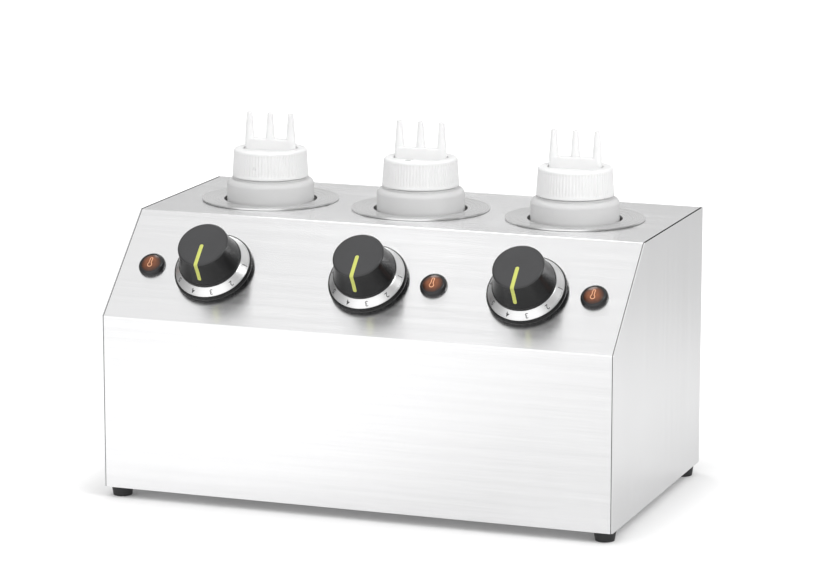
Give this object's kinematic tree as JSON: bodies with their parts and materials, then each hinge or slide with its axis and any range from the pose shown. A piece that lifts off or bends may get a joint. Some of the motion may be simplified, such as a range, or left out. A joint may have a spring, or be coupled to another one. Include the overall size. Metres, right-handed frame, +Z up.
{
  "type": "hot fudge topping warmer",
  "caption": "Counter warmer for squeeze bottles of hot topping: folded steel casing with heated wells, a turning thermostat knob and a pilot lamp for each well.",
  "frame": {"origin": "on the table under the middle of the bounding box of the whole warmer, bottles included", "axes": "+X runs along the row of wells to the right as seen from the front, -Y is the front with the knobs, +Z is up"},
  "size_m": [0.43, 0.2598, 0.2962],
  "materials": {
    "brushed_casing": "stainless sheet, straight brushed along the width",
    "spun_well": "spun stainless, brushed round the axis",
    "heater_sheath": "mill-finish steel sheath",
    "screw_steel": "plain steel",
    "thermoset": "pale thermoset moulding",
    "spindle_steel": "turned steel",
    "capillary_copper": "drawn copper",
    "foot_rubber": "matte black rubber",
    "knob_black": "satin black thermoset",
    "dial_silver": "satin anodised ring with printed figures",
    "pointer_lime": "lime yellow inlay",
    "bezel_black": "black moulding",
    "lens_amber": "clear amber lens",
    "bottle_polyethylene": "translucent white polyethylene",
    "cap_polyethylene": "translucent white polyethylene",
    "gland_nylon": "black nylon"
  },
  "bodies": {
    "casing": {"base_plate": "brushed_casing", "cable_gland": "gland_nylon", "clamp_screws": "screw_steel", "dial_rim_1": "knob_black", "dial_rim_2": "knob_black", "dial_rim_3": "knob_black", "dial_ring_1": "dial_silver", "dial_ring_2": "dial_silver", "dial_ring_3": "dial_silver", "foot_1": "foot_rubber", "foot_2": "foot_rubber", "foot_3": "foot_rubber", "foot_4": "foot_rubber", "foot_screws": "screw_steel", "gland_nut": "gland_nylon", "heater_band_1": "heater_sheath", "heater_band_2": "heater_sheath", "heater_band_3": "heater_sheath", "lamp_bezel_1": "bezel_black", "lamp_bezel_2": "bezel_black", "lamp_bezel_3": "bezel_black", "lamp_lens_1": "lens_amber", "lamp_lens_2": "lens_amber", "lamp_lens_3": "lens_amber", "rear_panel": "brushed_casing", "rear_panel_screws": "screw_steel", "sensor_1": "capillary_copper", "sensor_2": "capillary_copper", "sensor_3": "capillary_copper", "side_panel_left": "brushed_casing", "side_panel_right": "brushed_casing", "terminal_block": "thermoset", "thermostat_1": "thermoset", "thermostat_2": "thermoset", "thermostat_3": "thermoset", "thermostat_screws": "screw_steel", "well_cup_1": "spun_well", "well_cup_2": "spun_well", "well_cup_3": "spun_well", "wrap_shell": "brushed_casing"},
    "knob_1_body": {"knob_1": "knob_black", "knob_pointer_1": "pointer_lime", "spindle_1": "spindle_steel"},
    "bottle_1_body": {"bottle_1": "bottle_polyethylene"},
    "nozzle_1_body": {"nozzle_insert_1": "cap_polyethylene"},
    "collar_1_body": {"screw_collar_1": "cap_polyethylene"},
    "knob_2_body": {"knob_2": "knob_black", "knob_pointer_2": "pointer_lime", "spindle_2": "spindle_steel"},
    "bottle_2_body": {"bottle_2": "bottle_polyethylene"},
    "nozzle_2_body": {"nozzle_insert_2": "cap_polyethylene"},
    "collar_2_body": {"screw_collar_2": "cap_polyethylene"},
    "knob_3_body": {"knob_3": "knob_black", "knob_pointer_3": "pointer_lime", "spindle_3": "spindle_steel"},
    "bottle_3_body": {"bottle_3": "bottle_polyethylene"},
    "nozzle_3_body": {"nozzle_insert_3": "cap_polyethylene"},
    "collar_3_body": {"screw_collar_3": "cap_polyethylene"}
  },
  "joints": [
    {"name": "knob_1_turn", "type": "hinge", "parent": "casing", "child": "knob_1_body", "pos_m": [-0.1324, -0.10453, 0.20042], "axis": [0, -0.6836, 0.7298], "range_deg": [-95, 180]},
    {"name": "bottle_1_lift", "type": "slide", "parent": "casing", "child": "bottle_1_body", "axis": [0, 0, 1], "range_m": [0, 0.2]},
    {"name": "cap_1_rise", "type": "slide", "parent": "bottle_1_body", "child": "nozzle_1_body", "axis": [0, 0, 1], "range_m": [0, 0.0064]},
    {"name": "cap_1_turn", "type": "hinge", "parent": "nozzle_1_body", "child": "collar_1_body", "pos_m": [-0.1324, 0.0289, 0.244], "axis": [0, 0, 1], "range_deg": [0, 540]},
    {"name": "knob_2_turn", "type": "hinge", "parent": "casing", "child": "knob_2_body", "pos_m": [0, -0.10453, 0.20042], "axis": [0, -0.6836, 0.7298], "range_deg": [-95, 180]},
    {"name": "bottle_2_lift", "type": "slide", "parent": "casing", "child": "bottle_2_body", "axis": [0, 0, 1], "range_m": [0, 0.2]},
    {"name": "cap_2_rise", "type": "slide", "parent": "bottle_2_body", "child": "nozzle_2_body", "axis": [0, 0, 1], "range_m": [0, 0.0064]},
    {"name": "cap_2_turn", "type": "hinge", "parent": "nozzle_2_body", "child": "collar_2_body", "pos_m": [0, 0.0289, 0.244], "axis": [0, 0, 1], "range_deg": [0, 540]},
    {"name": "knob_3_turn", "type": "hinge", "parent": "casing", "child": "knob_3_body", "pos_m": [0.1324, -0.10453, 0.20042], "axis": [0, -0.6836, 0.7298], "range_deg": [-95, 180]},
    {"name": "bottle_3_lift", "type": "slide", "parent": "casing", "child": "bottle_3_body", "axis": [0, 0, 1], "range_m": [0, 0.2]},
    {"name": "cap_3_rise", "type": "slide", "parent": "bottle_3_body", "child": "nozzle_3_body", "axis": [0, 0, 1], "range_m": [0, 0.0064]},
    {"name": "cap_3_turn", "type": "hinge", "parent": "nozzle_3_body", "child": "collar_3_body", "pos_m": [0.1324, 0.0289, 0.244], "axis": [0, 0, 1], "range_deg": [0, 540]}
  ],
  "couplings": [
    {"joint": "cap_1_rise", "follows": "cap_1_turn", "m_per_rad": 0.00066845},
    {"joint": "cap_2_rise", "follows": "cap_2_turn", "m_per_rad": 0.00066845},
    {"joint": "cap_3_rise", "follows": "cap_3_turn", "m_per_rad": 0.00066845}
  ]
}
